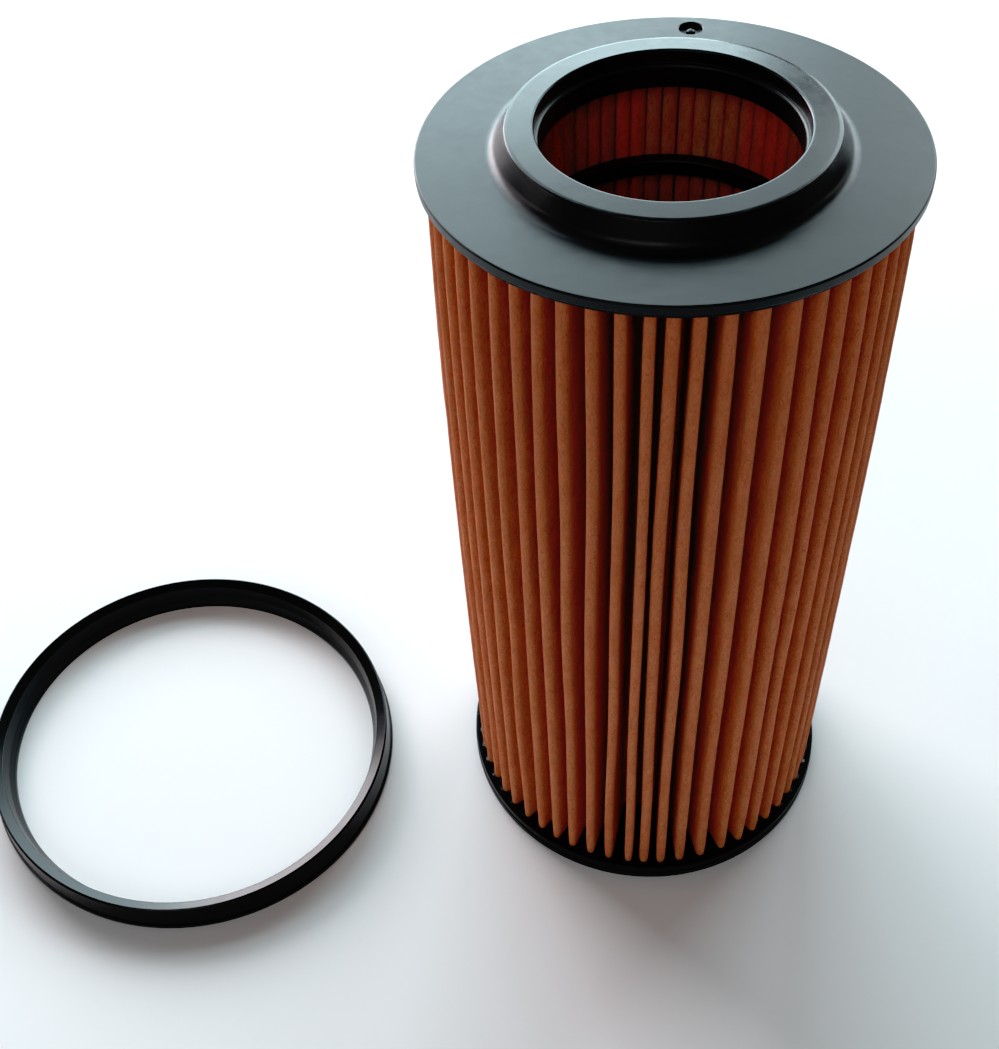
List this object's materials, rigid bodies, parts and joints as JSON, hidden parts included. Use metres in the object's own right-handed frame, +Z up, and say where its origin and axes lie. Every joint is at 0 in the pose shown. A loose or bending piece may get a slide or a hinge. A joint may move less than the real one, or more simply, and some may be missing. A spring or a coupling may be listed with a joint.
{
  "type": "oil filter element",
  "caption": "Cartridge oil filter: a tall pleated-paper cylinder between two black moulded end caps, the upper with a raised collar, and its loose ring-shaped cover seal.",
  "frame": {"origin": "centre of the bottom cap's bore, in the base plane that the element stands on", "axes": "+Z up along the element's axis, from the bottom cap to the collar; the moulding gate is towards +Y and the loose seal lies towards -X"},
  "size_m": [0.205, 0.1066, 0.172],
  "materials": {
    "end_cap_plastic": "satin moulded black nylon",
    "bond": "glossy set adhesive, slightly uneven",
    "filter_paper": "resin-cured, softly fibrous",
    "seam_adhesive": "dull set adhesive",
    "seal_rubber": "smooth black rubber with a soft sheen"
  },
  "bodies": {
    "element": {"top_end_cap": "end_cap_plastic", "top_bond": "bond", "pleated_paper": "filter_paper", "side_seam": "seam_adhesive", "upper_support_ring": "end_cap_plastic", "lower_support_ring": "end_cap_plastic", "bottom_bond": "bond", "bottom_end_cap": "end_cap_plastic"},
    "seal": {"cover_seal": "seal_rubber"}
  },
  "joints": [
    {"name": "seal_lift", "type": "slide", "parent": "element", "child": "seal", "axis": [0, 0, 1], "range_m": [0, 0.2]}
  ]
}
